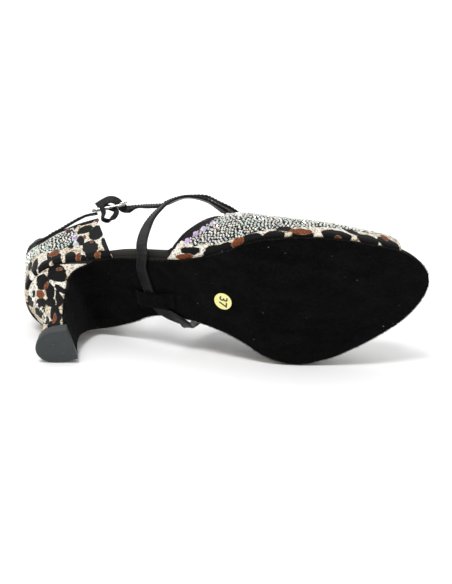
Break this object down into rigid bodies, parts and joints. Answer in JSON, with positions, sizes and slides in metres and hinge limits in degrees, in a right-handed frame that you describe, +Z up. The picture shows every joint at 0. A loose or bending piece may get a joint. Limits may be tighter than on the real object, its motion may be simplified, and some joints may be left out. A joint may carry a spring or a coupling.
{
  "type": "ballroom dance shoe",
  "caption": "Open-toed ballroom sandal lying on its side: spotted, stone-set vamp and heel counter, flared heel, suede sole and a strap crossed under the arch.",
  "frame": {"origin": "middle of the bounding box in plan, on the floor that the shoe lies on", "axes": "+X from the heel to the toe, +Y from the sole to the foot side, +Z up from the floor to the lateral side"},
  "size_m": [0.2278, 0.125, 0.0837],
  "materials": {
    "suede": "napped black suede",
    "insole": "matt dark olive lining leather",
    "print": "leopard print satin, set with small stones",
    "tip": "moulded dark blue-grey, slightly glossy",
    "satin": "black satin with a soft sheen",
    "plated": "bright plated wire",
    "paper": "pale yellow paper label"
  },
  "bodies": {
    "root": {"outsole": "suede", "insole": "insole", "heel": "print", "top_piece": "tip", "vamp": "print", "counter": "print", "throat_binding": "satin", "topline_binding": "satin", "strap": "satin", "sole_strap_loop": "suede", "strap_loop_lateral": "satin", "strap_loop_medial": "satin", "buckle_frame": "plated", "buckle_prong": "plated", "size_sticker": "paper"}
  },
  "joints": []
}
